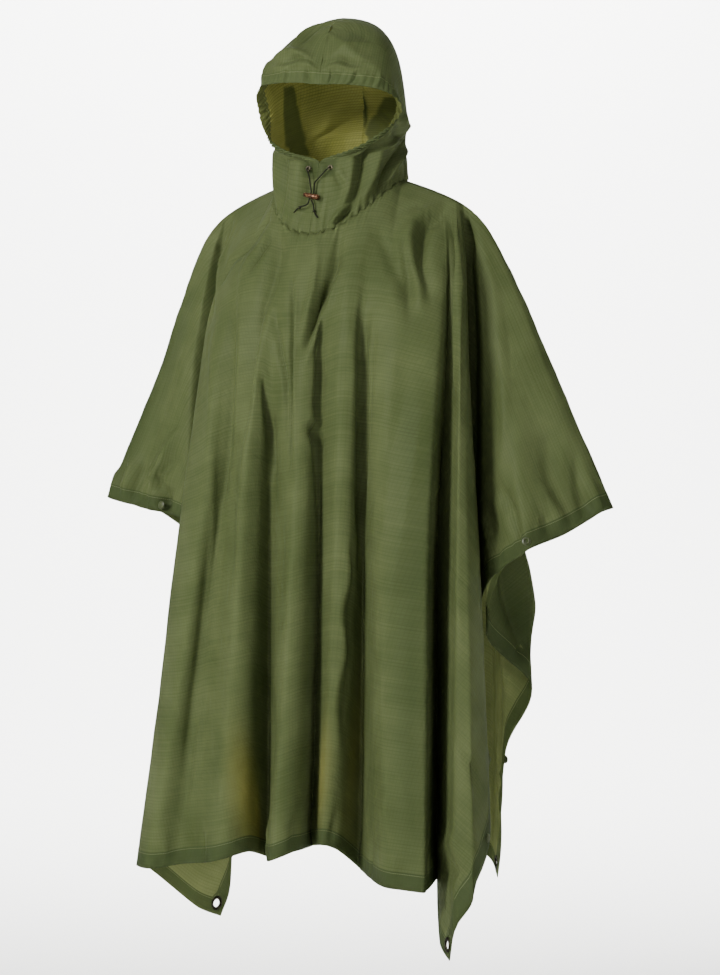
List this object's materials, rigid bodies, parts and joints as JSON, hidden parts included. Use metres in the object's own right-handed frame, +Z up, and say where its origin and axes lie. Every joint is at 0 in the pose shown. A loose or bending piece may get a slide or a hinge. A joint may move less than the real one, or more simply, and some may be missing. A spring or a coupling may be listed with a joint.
{
  "type": "rain poncho",
  "caption": "Hooded rectangular rain poncho hanging as worn, in folded ripstop cloth with open sides, corner eyelets, side snaps and a toggled hood cord.",
  "frame": {"origin": "on the body's vertical axis, level with the foot of the neck at the shoulders", "axes": "+Z up, -Y the way the wearer faces, +X the wearer's left arm"},
  "size_m": [0.8835, 0.4488, 1.4318],
  "materials": {
    "cloth": "olive ripstop nylon with a soft sheen",
    "cord": "dark braided cord",
    "toggle": "brown, lightly worn",
    "eyelet": "blackened",
    "snap": "olive paint, satin"
  },
  "bodies": {
    "root": {"front": "cloth", "back": "cloth", "hood_left": "cloth", "hood_right": "cloth", "cord_left": "cord", "cord_right": "cord", "knot_left": "cord", "knot_right": "cord", "toggle": "toggle", "hood_eyelet_left": "eyelet", "hood_eyelet_right": "eyelet", "eyelet_front_left": "eyelet", "snap_front_left_1": "snap", "snap_front_left_2": "snap", "eyelet_front_right": "eyelet", "snap_front_right_1": "snap", "snap_front_right_2": "snap", "eyelet_back_left": "eyelet", "snap_back_left_1": "snap", "snap_back_left_2": "snap", "eyelet_back_right": "eyelet", "snap_back_right_1": "snap", "snap_back_right_2": "snap"}
  },
  "joints": []
}
